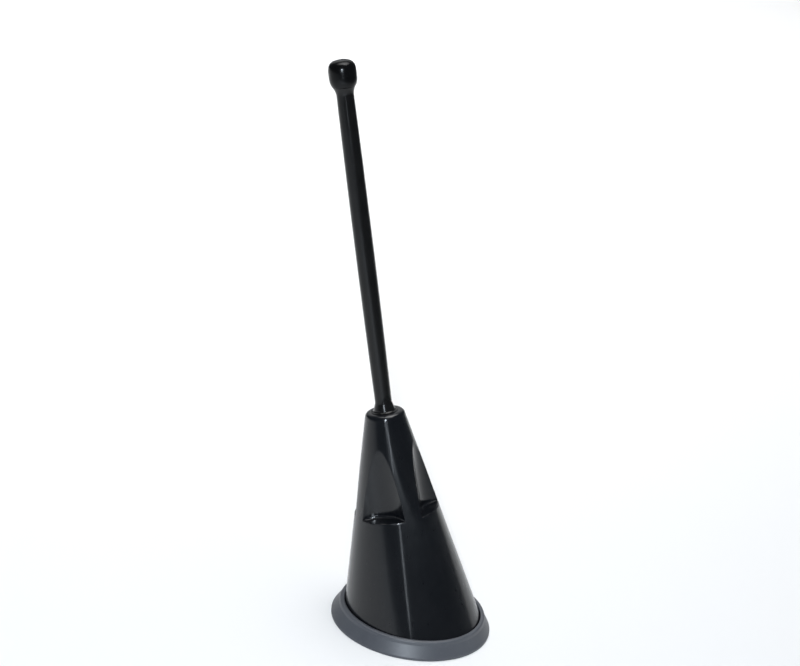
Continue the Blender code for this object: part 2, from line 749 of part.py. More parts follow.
def make_jacket(axis):
    """Rubber jacket: spigot for the cap, flared neck, slightly swollen length and flared foot."""
    neck = []
    for i in range(5):
        share = i / 5
        flare = (NECK_RADIUS - JACKET_TOP_RADIUS) * (1 - share) ** NECK_POWER
        neck.append((JACKET_TOP_RADIUS + flare, NECK_TOP - NECK_LENGTH * share))
    length = []
    for i in range(9):
        share = i / 8
        swell = JACKET_SWELL * 4 * share * (1 - share)
        radius = JACKET_TOP_RADIUS + (JACKET_LOW_RADIUS - JACKET_TOP_RADIUS) * share + swell
        length.append((radius, NECK_LOW + (JACKET_FLARE - NECK_LOW) * share))
    waist = JACKET_LOW_RADIUS + (JACKET_FLARE - JACKET_FILLET) * tan(JACKET_FLARE_ANGLE)
    low = CLEAR + JACKET_EDGE
    foot = []
    for i in range(6):
        angle = pi / 2 * i / 5
        radius = JACKET_FOOT_RADIUS - (JACKET_FOOT_RADIUS - waist) * cos(angle)
        foot.append((radius, JACKET_FILLET - (JACKET_FILLET - low) * sin(angle)))
    profile = [
        (SPIGOT_RADIUS, JACKET_END),
        (SPIGOT_RADIUS, NECK_TOP),
        *neck,
        *length,
        *foot,
        (JACKET_FOOT_RADIUS - JACKET_EDGE / 2, CLEAR),
        (JACKET_BORE, CLEAR),
        (JACKET_BORE, JACKET_END),
    ]
    turned_part("mast_jacket", profile, WHIP_RUBBER, WHIP_FRAME, axis, ring=True)


def make_tip(axis):
    """Barrel-shaped cap over the jacket's spigot, with a socket for the rod."""
    crown = []
    for i in range(9):
        rise = cos(pi / 2 * i / 8)
        radius = TIP_RADIUS * (1 - rise ** CROWN_POWER) ** (1 / CROWN_POWER)
        crown.append((radius, WHIP_LENGTH - TIP_CROWN * (1 - rise)))
    belly = []
    for i in range(1, 6):
        share = i / 5
        radius = TIP_RADIUS - (TIP_RADIUS - TIP_FOOT_RADIUS) * share ** BELLY_POWER
        belly.append((radius, WHIP_LENGTH - TIP_CROWN - (TIP_LENGTH - TIP_CROWN) * share))
    cap_bore = SPIGOT_RADIUS + CLEAR
    rod_bore = ROD_RADIUS + CLEAR
    profile = [
        *crown,
        *belly,
        (cap_bore, TIP_LOW),
        (cap_bore, JACKET_END + CLEAR),
        (rod_bore, JACKET_END + CLEAR),
        (rod_bore, ROD_END + CLEAR),
        (0, ROD_END + CLEAR),
    ]
    turned_part("tip_cap", profile, WHIP_RUBBER, WHIP_FRAME, axis)


def make_ferrule(axis):
    """Metal foot of the whip: a socket for the rod above, the screw thread below."""
    floor = FERRULE_LENGTH / 4
    bore = ROD_RADIUS + CLEAR
    edge = 0.4 * MM
    profile = [
        (0, floor),
        (bore, floor),
        (bore, FERRULE_LENGTH),
        (FERRULE_RADIUS, FERRULE_LENGTH),
        (FERRULE_RADIUS, 0),
        (WHIP_THREAD_RADIUS, 0),
        (WHIP_THREAD_RADIUS, edge - SEAL_DEPTH - WHIP_THREAD_LENGTH),
        (WHIP_THREAD_RADIUS - edge, -SEAL_DEPTH - WHIP_THREAD_LENGTH),
        (0, -SEAL_DEPTH - WHIP_THREAD_LENGTH),
    ]
    turned_part("mast_ferrule", profile, STEEL, WHIP_FRAME, axis)


def make_rod(axis):
    bottom = FERRULE_LENGTH / 4 + CLEAR
    profile = [(0, ROD_END), (ROD_RADIUS, ROD_END), (ROD_RADIUS, bottom), (0, bottom)]
    turned_part("mast_rod", profile, GLASS_FIBRE, WHIP_FRAME, axis, steps=16)


def make_coil(axis):
    """Helical radiator wound around the rod inside the jacket."""
    start = FERRULE_LENGTH + 2 * CLEAR + COIL_WIRE
    end = JACKET_END - 4 * ROD_RADIUS
    radius = (ROD_RADIUS + JACKET_BORE) / 2
    per_turn = 9
    count = COIL_TURNS * per_turn
    points = []
    for i in range(count + 1):
        angle = 2 * pi * i / per_turn
        points.append((radius * cos(angle), radius * sin(angle), start + (end - start) * i / count))
    finish_part(wire("radiator_coil", points, COIL_WIRE, WHIP_FRAME), COPPER, axis)


mast_axis = empty("mast_axis", WHIP_FRAME)
nut_axis = empty("nut_axis", Matrix.Translation((0, 0, -WASHER_DROP)))
make_housing()
make_insert()
make_feed_wire()
make_gasket()
make_base_plate()
make_screws()
make_board()
make_board_parts()
make_stud()
make_socket()
make_washer(nut_axis)
make_nut(nut_axis)
make_seal(mast_axis)
make_jacket(mast_axis)
make_tip(mast_axis)
make_ferrule(mast_axis)
make_rod(mast_axis)
make_coil(mast_axis)
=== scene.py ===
"""Looks of the panel-mount whip antenna: fine surfaces, threads, materials, studio and camera.

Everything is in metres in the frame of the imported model: z = 0 is the gasket's underside, +Z is
square to the panel, and the whip leans toward -X in the XZ plane.
"""

import json
from math import cos, pi, radians, sin, sqrt, tan

import bmesh
import bpy
import numpy as np
from mathutils import Matrix, Vector


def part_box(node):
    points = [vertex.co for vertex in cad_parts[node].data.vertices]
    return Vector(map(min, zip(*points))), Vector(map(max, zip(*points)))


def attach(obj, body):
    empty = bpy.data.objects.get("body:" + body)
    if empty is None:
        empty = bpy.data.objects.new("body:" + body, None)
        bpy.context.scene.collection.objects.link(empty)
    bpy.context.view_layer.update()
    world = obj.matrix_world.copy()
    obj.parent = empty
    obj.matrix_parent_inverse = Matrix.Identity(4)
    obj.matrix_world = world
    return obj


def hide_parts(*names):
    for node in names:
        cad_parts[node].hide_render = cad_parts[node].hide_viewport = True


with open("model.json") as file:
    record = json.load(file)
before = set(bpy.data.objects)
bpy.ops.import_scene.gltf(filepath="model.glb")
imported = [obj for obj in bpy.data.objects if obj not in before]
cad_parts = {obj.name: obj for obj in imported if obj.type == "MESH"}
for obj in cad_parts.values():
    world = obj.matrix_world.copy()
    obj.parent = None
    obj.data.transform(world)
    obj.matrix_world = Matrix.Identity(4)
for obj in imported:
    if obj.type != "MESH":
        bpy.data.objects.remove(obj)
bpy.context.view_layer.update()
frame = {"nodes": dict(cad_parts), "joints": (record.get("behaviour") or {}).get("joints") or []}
JOINTS = {joint["name"]: joint for joint in frame["joints"]}

MM = 0.001
CLEAR = 0.3 * MM              # gap between neighbouring pieces

# The whip's axis comes from its joint; the rest are the sizes of the CAD model.
RIM = Vector(JOINTS["whip_turn"]["pos_m"])
AXIS_UP = Vector(JOINTS["whip_turn"]["axis"]).normalized()
RAKE = AXIS_UP.angle(Vector((0, 0, 1)))
CONE_ANGLE = radians(12.7)
RIM_RADIUS = 7.47 * MM
RIM_ROUND = 2.0 * MM
WALL = 2.4 * MM
SCALLOP_COUNT = 4
SCALLOP_RADIUS = 13.0 * MM
SCALLOP_NEAR = 10.5 * MM
SCALLOP_END = 40.6 * MM
SCALLOP_FILLET = 0.8 * MM
LEDGE_ROUND = 0.35 * MM
SCALLOP_EDGE = 0.25 * MM      # blend along a scallop's long edges
GASKET_HEIGHT = 6.8 * MM
GASKET_FLOOR = 2.6 * MM
GASKET_LIP = 2.0 * MM
GASKET_FLARE = 4.9 * MM
LIP_ROUND = 0.35 * MM         # inner edge of the gasket's top
LIP_DROP = 1.6 * MM           # height of the steep band below the gasket's lip
LIP_STEP = 0.35 * MM          # how far that band leans out
HEM_HEIGHT = 1.0 * MM         # upright edge of the gasket, on the panel
HEM_WIDTH = 0.5 * MM
SHOULDER_HOLE = 8.3 * MM      # half the side of the gasket's square hole
FOOT_Z = GASKET_FLOOR + CLEAR
SEAL_POCKET = 4.3 * MM
SEAL_DEPTH = 1.7 * MM
BUSH_BORE = 3.8 * MM
CHAMBER_TOP = 14.4 * MM
CHAMBER_RADIUS = SCALLOP_NEAR - WALL
WHIP_LENGTH = 137.9 * MM
WHIP_FOOT = 5.2 * MM
WHIP_LOW = 3.25 * MM
WHIP_TOP = 3.3 * MM
WHIP_SWELL = 0.3 * MM         # extra radius half way up
WHIP_FLARE = 3.6 * MM
FLARE_ANGLE = radians(17)
FOOT_FILLET = 0.95 * MM       # height of the fillet below the conical flare
WHIP_BORE = 2.5 * MM
NECK_RADIUS = 4.25 * MM
NECK_LENGTH = 2.9 * MM
NECK_POWER = 1.6
SPIGOT_RADIUS = 3.1 * MM
SPIGOT_LENGTH = 4.0 * MM
TIP_RADIUS = 5.3 * MM
TIP_LENGTH = 9.9 * MM
TIP_CROWN = 5.0 * MM
TIP_FOOT = 4.45 * MM
CROWN_POWER = 3.0
BELLY_POWER = 3.5
ROD_BORE = 1.6 * MM
ROD_SOCKET = 3.8 * MM
SEAM = 0.08 * MM              # visible joint line between rubber pieces
TIP_LOW = WHIP_LENGTH - TIP_LENGTH
JACKET_END = TIP_LOW - CLEAR + SPIGOT_LENGTH
WHIP_THREAD = (2.5 * MM, 0.8 * MM)      # outer radius, pitch
STUD_THREAD = (6.0 * MM, 1.0 * MM)
WHIP_THREAD_DEPTH = 0.45 * MM
STUD_THREAD_DEPTH = 0.55 * MM
NUT_THREAD_DEPTH = 0.45 * MM
THREAD_START = -0.5 * MM      # top of the stud's thread
FLANGE_THICKNESS = 1.6 * MM
CHAMFER = 0.2 * MM            # stud and ferrule
NUT_CHAMFER = 1.15 * MM
NUT_MOUTH = 0.5 * MM          # countersink of the nut's bore
STUD_BORE = 3.6 * MM
AXIS_GAP = 0.02 * MM          # a turned surface's last ring, beside its axis
LEAST_LEDGE = 0.02 * MM       # a narrower ledge is drawn as a straight line
TURNED_COLUMNS = 96

# The camera of the photograph; its distance from the target is in millimetres.
CAMERA_AZIMUTH = radians(17.411)
CAMERA_ELEVATION = radians(22.476)
CAMERA_ROLL = radians(8.383)
CAMERA_TARGET = Vector((-21.69 * MM, 0, 119.26 * MM))
CAMERA_DISTANCE = 838.97
FOCAL_PIXELS = 2200.0
IMAGE_WIDTH = 800.0
SENSOR_WIDTH = 36.0

WHIP_FRAME = Matrix.Translation(RIM) @ Matrix.Rotation(-RAKE, 4, "Y")


# ---------------------------------------------------------------- mesh building

def rounded_corner(path, index, radius, count):
    """Points that round one corner of a (radius, height) path."""
    before = Vector(path[index - 1])
    corner = Vector(path[index])
    after = Vector(path[(index + 1) % len(path)])
    into = (before - corner).normalized()
    out = (after - corner).normalized()
    half = into.angle(out) / 2
    setback = radius / tan(half)
    centre = corner + (into + out).normalized() * (radius / sin(half))
    start = corner + into * setback - centre
    sweep = start.angle_signed(corner + out * setback - centre)
    points = []
    for i in range(count + 1):
        turn = Matrix.Rotation(-sweep * i / count, 2)
        points.append(tuple(centre + turn @ start))
    return points


def rounded(path, radii, count):
    """A (radius, height) path with its corners rounded; a radius of 0 keeps a corner sharp."""
    points = []
    for index, radius in enumerate(radii):
        if radius:
            points.extend(rounded_corner(path, index, radius, count))
        else:
            points.append(path[index])
    return points


def grid_object(name, rows, frame_matrix=None, closed=True, sharp=35):
    """A skin over rows of points, each row a closed ring.

    A closed skin joins its last row to its first; an open one gets a cap at each end. Edges
    sharper than the angle sharp, in degrees, aren't smoothed.
    """
    rows = np.asarray(rows, float)
    count, columns, _ = rows.shape
    index = np.arange(count * columns).reshape(count, columns)
    upper = index if closed else index[:-1]
    lower = np.roll(index, -1, axis=0) if closed else index[1:]
    quads = np.stack([upper, np.roll(upper, -1, 1), np.roll(lower, -1, 1), lower], -1)
    faces = quads.reshape(-1, 4).tolist()
    if not closed:
        faces.append(index[0].tolist())
        faces.append(index[-1][::-1].tolist())
    mesh = bpy.data.meshes.new(name)
    mesh.from_pydata(rows.reshape(-1, 3).tolist(), [], faces)
    if frame_matrix:
        mesh.transform(frame_matrix)
    made = bmesh.new()
    made.from_mesh(mesh)
    bmesh.ops.remove_doubles(made, verts=made.verts, dist=0.0000005)
    bmesh.ops.recalc_face_normals(made, faces=made.faces)
    made.to_mesh(mesh)
    made.free()
    mesh.shade_smooth()
    mesh.set_sharp_from_angle(angle=radians(sharp))
    obj = bpy.data.objects.new(name, mesh)
    bpy.context.scene.collection.objects.link(obj)
    return obj


def turned_rows(profile, columns):
    """Rings of points for a (radius, height) profile turned about Z."""
    angles = 2 * pi * np.arange(columns) / columns
    return [
        np.stack([radius * np.cos(angles), radius * np.sin(angles), np.full(columns, height)], -1)
        for radius, height in profile
    ]


def turned(name, profile, closed=True):
    """A piece turned about the whip's axis; an open profile starts and ends on the axis."""
    return grid_object(name, turned_rows(profile, TURNED_COLUMNS), WHIP_FRAME, closed)


def thread_rows(radius, pitch, depth, bottom, top, columns, inside=False):
    """Rings for a right-hand helical thread; it runs out over one turn at each end."""
    angles = 2 * pi * np.arange(columns) / columns
    rings_per_turn = 8
    flank_slope = 2.6
    crest_flat = 0.25
    count = int(round((top - bottom) / pitch * rings_per_turn))
    rows = []
    for i in range(count + 1):
        height = top + (bottom - top) * i / count
        phase = (height / pitch - angles / (2 * pi)) % 1.0
        groove = np.clip(np.abs(phase - 0.5) * flank_slope - crest_flat, 0, 1)
        fade = min(1.0, (height - bottom) / pitch, (top - height) / pitch)
        cut = depth * groove
        if fade < 1.0:
            cut = np.maximum(cut, depth * (1 - fade))
        radii = radius + cut if inside else radius - cut
        heights = np.full(columns, height)
        rows.append(np.stack([radii * np.cos(angles), radii * np.sin(angles), heights], -1))
    return rows


# ---------------------------------------------------------------- cone and gasket shapes

def cone_radius(depth):
    """Radius of the plain cone at a depth below the rim plane, along the axis."""
    return RIM_RADIUS + depth * tan(CONE_ANGLE)


APEX = RIM + AXIS_UP * (RIM_RADIUS / tan(CONE_ANGLE))


def level_section(z, inset=0.0):
    """Centre x and half axes of the cone's level section, with its wall moved in by inset."""
    apex = APEX - AXIS_UP * (inset / sin(CONE_ANGLE))
    drop = apex.z - z
    far = drop * tan(RAKE + CONE_ANGLE)
    near = drop * tan(RAKE - CONE_ANGLE)
    half_x = (far - near) / 2
    half_y = half_x * sqrt(1 - (sin(RAKE) / cos(CONE_ANGLE)) ** 2)
    return apex.x + (far + near) / 2, half_x, half_y


SCALLOP_CENTRE = SCALLOP_NEAR + SCALLOP_RADIUS
SECTOR = 2 * pi / SCALLOP_COUNT
SECTOR_COLUMNS = 72


def scallop_half_angle(radius):
    """Half the angle that a scallop spans where the cone has this radius."""
    squares = radius ** 2 + SCALLOP_CENTRE ** 2 - SCALLOP_RADIUS ** 2
    return np.arccos(np.clip(squares / (2 * radius * SCALLOP_CENTRE), -1, 1))


def column_angles(depth):
    """Column directions at a depth: half of each sector's columns lie inside its scallop."""
    least = radians(5)
    crowding = 0.25           # draws columns together at a scallop's long edges
    half = max(least, float(scallop_half_angle(cone_radius(min(depth, SCALLOP_END)))))
    inner = SECTOR_COLUMNS // 2
    share = np.arange(inner) / inner * 2 - 1
    inside = half * (share + crowding * np.sin(pi * share) / pi)
    outer = SECTOR_COLUMNS - inner
    outside = half + (SECTOR - 2 * half) * np.arange(outer) / outer
    one = np.concatenate([inside, outside])
    return np.concatenate([one + SECTOR * k for k in range(SCALLOP_COUNT)])


def scallop_surface(angle_in_sector):
    """Radius of the scallop's wall in a direction measured from the scallop's middle."""
    turn = (angle_in_sector + SECTOR / 2) % SECTOR - SECTOR / 2
    inside = SCALLOP_RADIUS ** 2 - (SCALLOP_CENTRE * np.sin(turn)) ** 2
    wall = SCALLOP_CENTRE * np.cos(turn) - np.sqrt(np.maximum(inside, 0))
    never = 1.0               # metres: a direction that misses the scallop meets no wall
    return np.where(inside > 0, wall, never)


def soft_min(a, b, width):
    """The lesser of two values, blended where they are within width of each other."""
    share = np.clip(0.5 + 0.5 * (b - a) / width, 0, 1)
    return b * (1 - share) + a * share - width * share * (1 - share)


def carved_radius(depth, angles):
    """Outer radius of the housing above the ledges."""
    return soft_min(cone_radius(depth), scallop_surface(angles), SCALLOP_EDGE)


def corner_path(points, radii, count):
    """Evenly spaced points along a 2D path whose inner corners are rounded."""
    corner_steps = 6
    full = [points[0]]
    for index, radius in enumerate(radii, 1):
        full.extend(rounded_corner(points, index, radius, corner_steps))
    full.append(points[-1])
    full = np.array(full)
    steps = np.concatenate([[0], np.cumsum(np.linalg.norm(np.diff(full, axis=0), axis=1))])
    wanted = np.linspace(0, steps[-1], count)
    flat = [np.interp(wanted, steps, full[:, axis]) for axis in (0, 1)]
    return np.stack(flat, -1)


def ring(radii, angles, depths):
    """Points around the axis in the whip's frame, below the rim plane."""
    depths = np.broadcast_to(depths, angles.shape)
    return np.stack([radii * np.cos(angles), radii * np.sin(angles), -depths], -1)


def foot_depth(angles, level, inset=0.0):
    """Depth along the axis at which the cone's wall meets a level plane, for each direction."""
    rim_radius = RIM_RADIUS - inset / cos(CONE_ANGLE)
    lean = sin(RAKE) * np.cos(angles)
    return (RIM.z - level + rim_radius * lean) / (cos(RAKE) - tan(CONE_ANGLE) * lean)


def housing_rows():
    """Rings over the housing's whole skin, from the seal pocket over the outside to the bore."""
    rows = []
    # seal pocket, rounded mouth, flat rim and its rounded edge
    top_angles = column_angles(0)
    tangent_drop = RIM_ROUND * (1 - sin(CONE_ANGLE))
    edge_radius = cone_radius(tangent_drop) - RIM_ROUND * cos(CONE_ANGLE)
    mouth = 0.25 * MM
    for depth in (SEAL_DEPTH, mouth * 2, mouth):
        rows.append(ring(SEAL_POCKET, top_angles, depth))
    for i in range(1, 4):
        turn = pi / 2 * i / 3
        radius = SEAL_POCKET + mouth * (1 - cos(turn))
        rows.append(ring(radius, top_angles, mouth * (1 - sin(turn))))
    for i in range(1, 3):
        radius = SEAL_POCKET + mouth + (edge_radius - SEAL_POCKET - mouth) * i / 3
        rows.append(ring(radius, top_angles, 0))
    for i in range(11):
        turn = pi / 2 - (pi / 2 - CONE_ANGLE) * i / 10
        depth = RIM_ROUND * (1 - sin(turn))
        rows.append(ring(edge_radius + RIM_ROUND * cos(turn), column_angles(depth), depth))
    # scalloped upper cone, down to a band that holds the ledges
    band = 1.4 * MM
    below_rim = 0.4 * MM
    upper_rings = 100
    for depth in np.linspace(tangent_drop + below_rim, SCALLOP_END - band, upper_rings):
        angles = column_angles(depth)
        rows.append(ring(carved_radius(depth, angles), angles, depth))
    # ledges: one rounded path per column, all with the same number of points
    angles = column_angles(SCALLOP_END)
    start = carved_radius(SCALLOP_END - band, angles)
    wall = carved_radius(SCALLOP_END, angles)
    edge = cone_radius(SCALLOP_END)
    end = (cone_radius(SCALLOP_END + band), SCALLOP_END + band)
    most_round = 0.45         # of the ledge's width
    count = 22
    paths = []
    for low, deep in zip(start, wall):
        gap = max(edge - deep, 0)
        if gap < LEAST_LEDGE:
            line = np.linspace((low, SCALLOP_END - band), end, count)
        else:
            inner_round = min(SCALLOP_FILLET, most_round * gap)
            outer_round = min(LEDGE_ROUND, most_round * gap)
            points = [(low, SCALLOP_END - band), (deep, SCALLOP_END), (edge, SCALLOP_END), end]
            line = corner_path(points, [inner_round, outer_round], count)
        paths.append(line)
    paths = np.array(paths)
    for i in range(1, count):
        rows.append(ring(paths[:, i, 0], angles, paths[:, i, 1]))
    # plain lower cone down to the foot plane
    foot = foot_depth(angles, FOOT_Z)
    first = SCALLOP_END + band
    lower_rings = 40
    for share in np.linspace(0, 1, lower_rings)[1:]:
        depth = first + (foot - first) * share
        rows.append(ring(cone_radius(depth), angles, depth))
    # inside: wall, step under the ledges, chamber, bush bore
    shift = WALL / cos(CONE_ANGLE)
    inner_foot = foot_depth(angles, FOOT_Z, WALL)
    step = SCALLOP_END + WALL
    wall_rings = 8
    for share in np.linspace(0, 1, wall_rings):
        depth = inner_foot + (step - inner_foot) * share
        rows.append(ring(cone_radius(depth) - shift, angles, depth))
    for radius, depth in [
        (CHAMBER_RADIUS, step),
        (CHAMBER_RADIUS, CHAMBER_TOP),
        (BUSH_BORE, CHAMBER_TOP),
        (BUSH_BORE, SEAL_DEPTH),
    ]:
        rows.append(ring(radius, top_angles, depth))
    return rows


def make_housing():
    """Raked cone housing with its four scallops, hollow inside."""
    shell = grid_object("cone_housing", housing_rows(), WHIP_FRAME, sharp=30)
    finish_piece(shell, "base", LOOKS["housing"], "housing_plastic", "housing")


def gasket_rows():
    """Rings over the gasket: pocket for the housing, lip, flared skirt, underside, square hole."""
    columns = 240
    angles = 2 * pi * np.arange(columns) / columns
    hem_inset = 0.4 * MM
    _, half_x, half_y = level_section(GASKET_HEIGHT)
    normal = np.stack([np.cos(angles) / half_x, np.sin(angles) / half_y], -1)
    normal /= np.linalg.norm(normal, axis=1)[:, None]

    def outer(spread, height):
        flat = np.stack([half_x * np.cos(angles), half_y * np.sin(angles)], -1) + normal * spread
        return np.column_stack([flat, np.full(columns, height)])

    def pocket(height, clear):
        centre, wide, deep = level_section(height, -clear)
        flat = [centre + wide * np.cos(angles), deep * np.sin(angles)]
        return np.column_stack([*flat, np.full(columns, height)])

    def square(height, blend):
        """Between the skirt's outline and the square hole; blend 1 is the hole."""
        reach = SHOULDER_HOLE / np.maximum(np.abs(np.cos(angles)), np.abs(np.sin(angles)))
        hole = np.stack([reach * np.cos(angles), reach * np.sin(angles)], -1)
        edge = outer(GASKET_FLARE - hem_inset, height)[:, :2]
        return np.column_stack([edge * (1 - blend) + hole * blend, np.full(columns, height)])

    rows = []
    for height in np.linspace(GASKET_FLOOR, GASKET_HEIGHT - LIP_ROUND, 6):
        rows.append(pocket(height, CLEAR))
    for i in range(1, 5):
        turn = pi / 2 * i / 4
        drop = LIP_ROUND * (1 - sin(turn))
        rows.append(pocket(GASKET_HEIGHT - drop, CLEAR + LIP_ROUND * (1 - cos(turn))))
    corners = [
        (CLEAR + LIP_ROUND, GASKET_HEIGHT),
        (GASKET_LIP, GASKET_HEIGHT),
        (GASKET_LIP + LIP_STEP, GASKET_HEIGHT - LIP_DROP),
        (GASKET_FLARE, HEM_HEIGHT),
        (GASKET_FLARE, 0),
        (GASKET_FLARE - HEM_WIDTH, 0),
    ]
    corner_radii = [0, 0.85 * MM, 1.2 * MM, 0.4 * MM, 0.2 * MM, 0]
    corner_steps = 6
    profile = rounded(corners, corner_radii, corner_steps)
    for spread, height in profile[1:]:
        rows.append(outer(spread, height))
    for blend in (0.25, 0.5, 0.75, 1.0):
        rows.append(square(0, blend))
    for height, blend in ((GASKET_FLOOR, 1.0), (GASKET_FLOOR, 0.6), (GASKET_FLOOR, 0.3)):
        rows.append(square(height, blend))
    return rows


def make_gasket():
    """Flared rubber gasket on the panel."""
    skirt = grid_object("gasket_skirt", gasket_rows(), sharp=40)
    finish_piece(skirt, "base", LOOKS["gasket"], "gasket_rubber", "gasket")


# ---------------------------------------------------------------- whip

def make_jacket():
    """Rubber jacket: spigot in the cap, flared neck, slightly swollen length and flared foot."""
    neck_top = TIP_LOW - SEAM
    neck_low = TIP_LOW - CLEAR - NECK_LENGTH
    lip = 0.12 * MM
    profile = [
        (WHIP_BORE, JACKET_END),
        (SPIGOT_RADIUS, JACKET_END),
        (SPIGOT_RADIUS, neck_top),
        (NECK_RADIUS - lip, neck_top),
        (NECK_RADIUS - 0.3 * lip, neck_top - 0.3 * lip),
    ]
    for share in np.linspace(0, 1, 16)[:-1]:
        flare = (NECK_RADIUS - WHIP_TOP) * (1 - share) ** NECK_POWER
        profile.append((WHIP_TOP + flare, neck_top - lip + (neck_low - neck_top + lip) * share))
    for share in np.linspace(0, 1, 40):
        swell = WHIP_SWELL * 4 * share * (1 - share)
        radius = WHIP_TOP + (WHIP_LOW - WHIP_TOP) * share + swell
        profile.append((radius, neck_low + (WHIP_FLARE - neck_low) * share))
    waist = WHIP_LOW + (WHIP_FLARE - FOOT_FILLET) * tan(FLARE_ANGLE)
    edge = 0.12 * MM
    for share in np.linspace(0, 1, 10)[1:-1]:
        radius = WHIP_LOW + (waist - WHIP_LOW) * share
        profile.append((radius, WHIP_FLARE + (FOOT_FILLET - WHIP_FLARE) * share))
    for turn in np.linspace(0, pi / 2, 14):
        height = FOOT_FILLET - (FOOT_FILLET - SEAM - edge) * sin(turn)
        profile.append((WHIP_FOOT - (WHIP_FOOT - waist) * cos(turn), height))
    for turn in np.linspace(0, pi / 2, 5)[1:]:
        profile.append((WHIP_FOOT - edge * (1 - cos(turn)), SEAM + edge - edge * sin(turn)))
    profile.append((WHIP_BORE, SEAM))
    jacket = turned("whip_jacket", profile)
    finish_piece(jacket, "whip", LOOKS["whip"], "whip_rubber", "mast_jacket")


def make_tip():
    """Cap with a flattened dome and a barrel that narrows to its lower edge."""
    profile = []
    for turn in np.linspace(0, pi / 2, 33):
        rise = cos(turn)
        radius = TIP_RADIUS * max(1 - rise ** CROWN_POWER, 0) ** (1 / CROWN_POWER)
        profile.append((max(radius, AXIS_GAP), WHIP_LENGTH - TIP_CROWN * (1 - rise)))
    edge = 0.3 * MM
    belly = TIP_LENGTH - TIP_CROWN
    for share in np.linspace(0, 1 - edge / belly, 20)[1:]:
        radius = TIP_RADIUS - (TIP_RADIUS - TIP_FOOT) * share ** BELLY_POWER
        profile.append((radius, WHIP_LENGTH - TIP_CROWN - belly * share))
    last = profile[-1][0]
    for turn in np.linspace(0, pi / 2, 6)[1:]:
        profile.append((last - edge * (1 - cos(turn)), TIP_LOW + edge * (1 - sin(turn))))
    bore = SPIGOT_RADIUS + CLEAR
    ceiling = JACKET_END + ROD_SOCKET
    profile += [
        (bore, TIP_LOW),
        (bore, JACKET_END + CLEAR),
        (ROD_BORE, JACKET_END + CLEAR),
        (ROD_BORE, ceiling),
        (AXIS_GAP, ceiling),
    ]
    tip = turned("whip_tip", profile, closed=False)
    finish_piece(tip, "whip", LOOKS["tip"], "whip_rubber", "tip_cap")


def make_ferrule():
    """Plated foot of the whip with its helical thread."""
    radius, pitch = WHIP_THREAD
    low, high = node_span("mast_ferrule")
    columns = 64
    depth = WHIP_THREAD_DEPTH
    lead_in = 0.4 * MM
    sleeve_radius = 2.2 * MM
    socket = high * 0.25      # floor of the rod's socket
    start = turned_rows([(AXIS_GAP, socket)], columns)
    sleeve = turned_rows([
        (ROD_BORE, socket),
        (ROD_BORE, high),
        (sleeve_radius, high),
        (sleeve_radius, 0),
    ], columns)
    collar = turned_rows([(radius, 0), (radius, -SEAL_DEPTH)], columns)
    thread = thread_rows(radius, pitch, depth, low + lead_in, -SEAL_DEPTH, columns)
    foot = turned_rows([(radius - depth - CHAMFER, low), (AXIS_GAP, low)], columns)
    rows = [*start, *sleeve, *collar, *thread, *foot]
    ferrule = grid_object("whip_screw", rows, WHIP_FRAME, closed=False, sharp=50)
    finish_piece(ferrule, "whip", LOOKS["steel"], "steel", "mast_ferrule")


def node_span(node):
    """Lowest and highest point of a CAD node along the whip's axis, from the rim plane."""
    inverse = WHIP_FRAME.inverted()
    heights = [(inverse @ v.co).z for v in frame["nodes"][node].data.vertices]
    return min(heights), max(heights)


# ---------------------------------------------------------------- mounting hardware

def make_stud():
    """Hollow stud with its thread, hanging from its flange."""
    radius, pitch = STUD_THREAD
    low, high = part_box("mounting_stud")
    columns = TURNED_COLUMNS
    depth = STUD_THREAD_DEPTH
    lead_in = 0.5 * MM
    flange_radius = high.x
    flange_low = high.z - FLANGE_THICKNESS
    rows = turned_rows([
        (STUD_BORE, high.z),
        (flange_radius - CHAMFER, high.z),
        (flange_radius, high.z - CHAMFER),
        (flange_radius, flange_low),
        (radius, flange_low),
        (radius, THREAD_START),
    ], columns)
    rows += thread_rows(radius, pitch, depth, low.z + lead_in, THREAD_START, columns)
    rows += turned_rows([
        (radius - depth - CHAMFER, low.z),
        (STUD_BORE + CHAMFER, low.z),
        (STUD_BORE, low.z + CHAMFER),
    ], columns)
    stud = grid_object("panel_stud", rows, sharp=50)
    finish_piece(stud, "base", LOOKS["zinc"], "zinc", "mounting_stud")


def make_nut():
    """Hexagon nut with chamfered corners and a threaded bore."""
    low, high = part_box("mount_nut")
    radius, pitch = STUD_THREAD
    columns = 120
    angles = 2 * pi * np.arange(columns) / columns
    flats = high.y
    tilt = pi / 6             # the nut's corners lie on the X axis
    face = flats * 0.97       # radius of the round face left by the chamfer
    inner_radius = radius + CLEAR - 0.02 * MM
    mouth_radius = radius + CLEAR + NUT_MOUTH
    sector = (angles + pi / 6) % (pi / 3) - pi / 6
    hexagon = np.minimum(flats / np.cos(sector), high.x * 0.995)

    def outline(height, limit):
        radii = np.minimum(hexagon, limit)
        flat = [radii * np.cos(angles + tilt), radii * np.sin(angles + tilt)]
        return np.stack([*flat, np.full(columns, height)], -1)

    rows = turned_rows([(mouth_radius, high.z)], columns)
    steps = 6
    chamfer_power = 1.5
    for i in range(steps + 1):
        drop = NUT_CHAMFER * (i / steps) ** chamfer_power
        rows.append(outline(high.z - drop, face + (high.x - face) * i / steps))
    for i in range(steps + 1):
        share = 1 - i / steps
        rise = NUT_CHAMFER * share ** chamfer_power
        rows.append(outline(low.z + rise, face + (high.x - face) * share))
    rows += turned_rows([(mouth_radius, low.z)], columns)
    bottom, top = low.z + NUT_MOUTH, high.z - NUT_MOUTH
    thread = thread_rows(inner_radius, pitch, NUT_THREAD_DEPTH, bottom, top, columns, inside=True)
    rows += thread[::-1]
    nut = grid_object("panel_nut", rows, sharp=28)
    finish_piece(nut, "nut", LOOKS["steel"], "steel", "mount_nut")


# ---------------------------------------------------------------- materials

